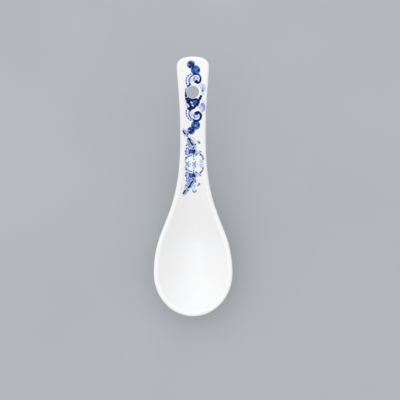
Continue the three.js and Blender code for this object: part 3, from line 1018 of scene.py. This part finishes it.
def ramp(tree, factor, *stops):
    """A colour that runs through (position, colour) stops."""
    node = add_node(tree, "ShaderNodeValToRGB", fac=factor)
    elements = node.color_ramp.elements
    for position, _ in stops[2:]:
        elements.new(position)
    for element, (position, colour) in zip(elements, stops):
        element.position = position
        element.color = (*colour, 1)
    return node.outputs["Color"]


def bumps(tree, surface, height, strength):
    """Raises and sinks a surface a little, as a noise does."""
    relief = add_node(tree, "ShaderNodeBump", height=height, strength=strength, distance=BUMP_DEPTH)
    tree.links.new(relief.outputs["Normal"], surface.inputs["Normal"])


def new_material(name):
    material = bpy.data.materials.new(name)
    material.use_nodes = True
    return material, material.node_tree, material.node_tree.nodes["Principled BSDF"]


def gloss(tree, surface, reflection):
    """The sheen of fired glaze: smooth, a little uneven, with a faint ripple."""
    bumps(tree, surface, noise(tree, GLAZE_RIPPLES), GLAZE_RIPPLE_STRENGTH)
    roughness = spread(tree, noise(tree, GLAZE_SMEARS), GLAZE_SMOOTHEST, GLAZE_ROUGHEST)
    tree.links.new(roughness, surface.inputs["Roughness"])
    surface.inputs["Specular IOR Level"].default_value = reflection


def glaze_material():
    """White glaze, clouded between a cool and a warm white."""
    material, tree, surface = new_material("white_glaze")
    stops = ((NOISE_LOW, COOL_WHITE), (NOISE_MIDDLE, WHITE), (NOISE_HIGH, WARM_WHITE))
    tree.links.new(ramp(tree, noise(tree, GLAZE_CLOUDS), *stops), surface.inputs["Base Color"])
    gloss(tree, surface, GLAZE_REFLECTION)
    return material


def ink_material():
    """Cobalt under the glaze, from bare white to navy by the ink painted on each piece."""
    material, tree, surface = new_material("cobalt_print")
    ink = add_node(tree, "ShaderNodeAttribute")
    ink.attribute_name = "ink"
    patchy = spread(tree, noise(tree, INK_PATCHES), INK_WEAKEST, INK_STRONGEST)
    strength = add_node(tree, "ShaderNodeMath", value=ink.outputs["Fac"], value_001=patchy)
    strength.operation = "MULTIPLY"
    tree.links.new(ramp(tree, strength.outputs["Value"], *INK_STOPS), surface.inputs["Base Color"])
    gloss(tree, surface, INK_REFLECTION)
    return material


def biscuit_material():
    """Bare fired clay: matt cream, finely pitted, with a warm flush at the edge of the glaze."""
    material, tree, surface = new_material("bare_clay")
    place = add_node(tree, "ShaderNodeTexCoord").outputs["Object"]
    height = add_node(tree, "ShaderNodeSeparateXYZ", vector=place).outputs["Z"]
    flush = spread(tree, height, 0, 1, from_low=CLAY_FLUSH_START, from_high=BARE_FOOT_BAND)
    grain = ramp(tree, noise(tree, CLAY_GRAINS, detail=4), (NOISE_LOW, CLAY_BUFF), (NOISE_HIGH, CLAY_CREAM))
    flushed = add_node(tree, "ShaderNodeMixRGB", fac=flush, color1=grain, color2=(*CLAY_FLUSH, 1))
    tree.links.new(flushed.outputs["Color"], surface.inputs["Base Color"])
    bumps(tree, surface, noise(tree, CLAY_PITS, detail=3), CLAY_PIT_STRENGTH)
    roughness = spread(tree, noise(tree, CLAY_SMEARS), CLAY_SMOOTHEST, CLAY_ROUGHEST)
    tree.links.new(roughness, surface.inputs["Roughness"])
    return material


def table_material():
    """A plain pale table."""
    material, tree, surface = new_material("pale_table")
    clouds = noise(tree, TABLE_CLOUDS, detail=3)
    tint = ramp(tree, clouds, (NOISE_LOW, TABLE_GREY), (NOISE_HIGH, TABLE_PALE_GREY))
    tree.links.new(tint, surface.inputs["Base Color"])
    surface.inputs["Roughness"].default_value = TABLE_ROUGHNESS
    return material


# The pieces


def dress(piece, node, slot, material, smooth_angle):
    """Hangs a piece under the root, hides the solid that it stands for, and gives it its material and smooth
    faces.
    """
    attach(piece, "root")
    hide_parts(node)
    piece.data.materials.append(material)
    pick(piece)
    bpy.ops.object.shade_smooth_by_angle(angle=math.radians(smooth_angle))


def ink_slot(motif):
    return next(slot for slot, names in INK_SLOTS.items() if motif.startswith(names))


glaze = make_glaze()
dress(make_body(), "porcelain_body", "biscuit", biscuit_material(), WALL_SMOOTHING)
dress(glaze, "glaze_coat", "glaze", glaze_material(), WALL_SMOOTHING)
cobalt = ink_material()
for motif, piece in make_prints(glaze).items():
    dress(piece, motif, ink_slot(motif), cobalt, FILM_SMOOTHING)


# Camera, table and light


def add_camera():
    camera = bpy.data.objects.new("camera", bpy.data.cameras.new("camera"))
    bpy.context.scene.collection.objects.link(camera)
    camera.location = (CAMERA_X, CAMERA_Y, CAMERA_HEIGHT)
    camera.data.lens = LENS
    camera.data.sensor_width = SENSOR
    bpy.context.scene.camera = camera


def add_table():
    bpy.ops.object.select_all(action="DESELECT")
    bpy.ops.mesh.primitive_plane_add(size=TABLE_SIZE, location=(0, 0, -TABLE_GAP))
    table = bpy.context.object
    table.name = "table"
    table.data.materials.append(table_material())


def add_room_light():
    world = bpy.data.worlds.new("studio")
    world.use_nodes = True
    background = world.node_tree.nodes["Background"]
    background.inputs["Color"].default_value = ROOM_COLOUR
    background.inputs["Strength"].default_value = ROOM_STRENGTH
    bpy.context.scene.world = world


def add_soft_box():
    lamp = bpy.data.objects.new("soft_box", bpy.data.lights.new("soft_box", "AREA"))
    bpy.context.scene.collection.objects.link(lamp)
    lamp.location = SOFT_BOX_PLACE
    lamp.rotation_euler = (Vector((0, CAMERA_Y, 0)) - lamp.location).to_track_quat("-Z", "Y").to_euler()
    lamp.data.size = SOFT_BOX_SIZE
    lamp.data.energy = SOFT_BOX_POWER
    lamp.data.color = SOFT_BOX_COLOUR


add_camera()
add_table()
add_room_light()
add_soft_box()
bpy.context.scene.view_settings.view_transform = "Standard"
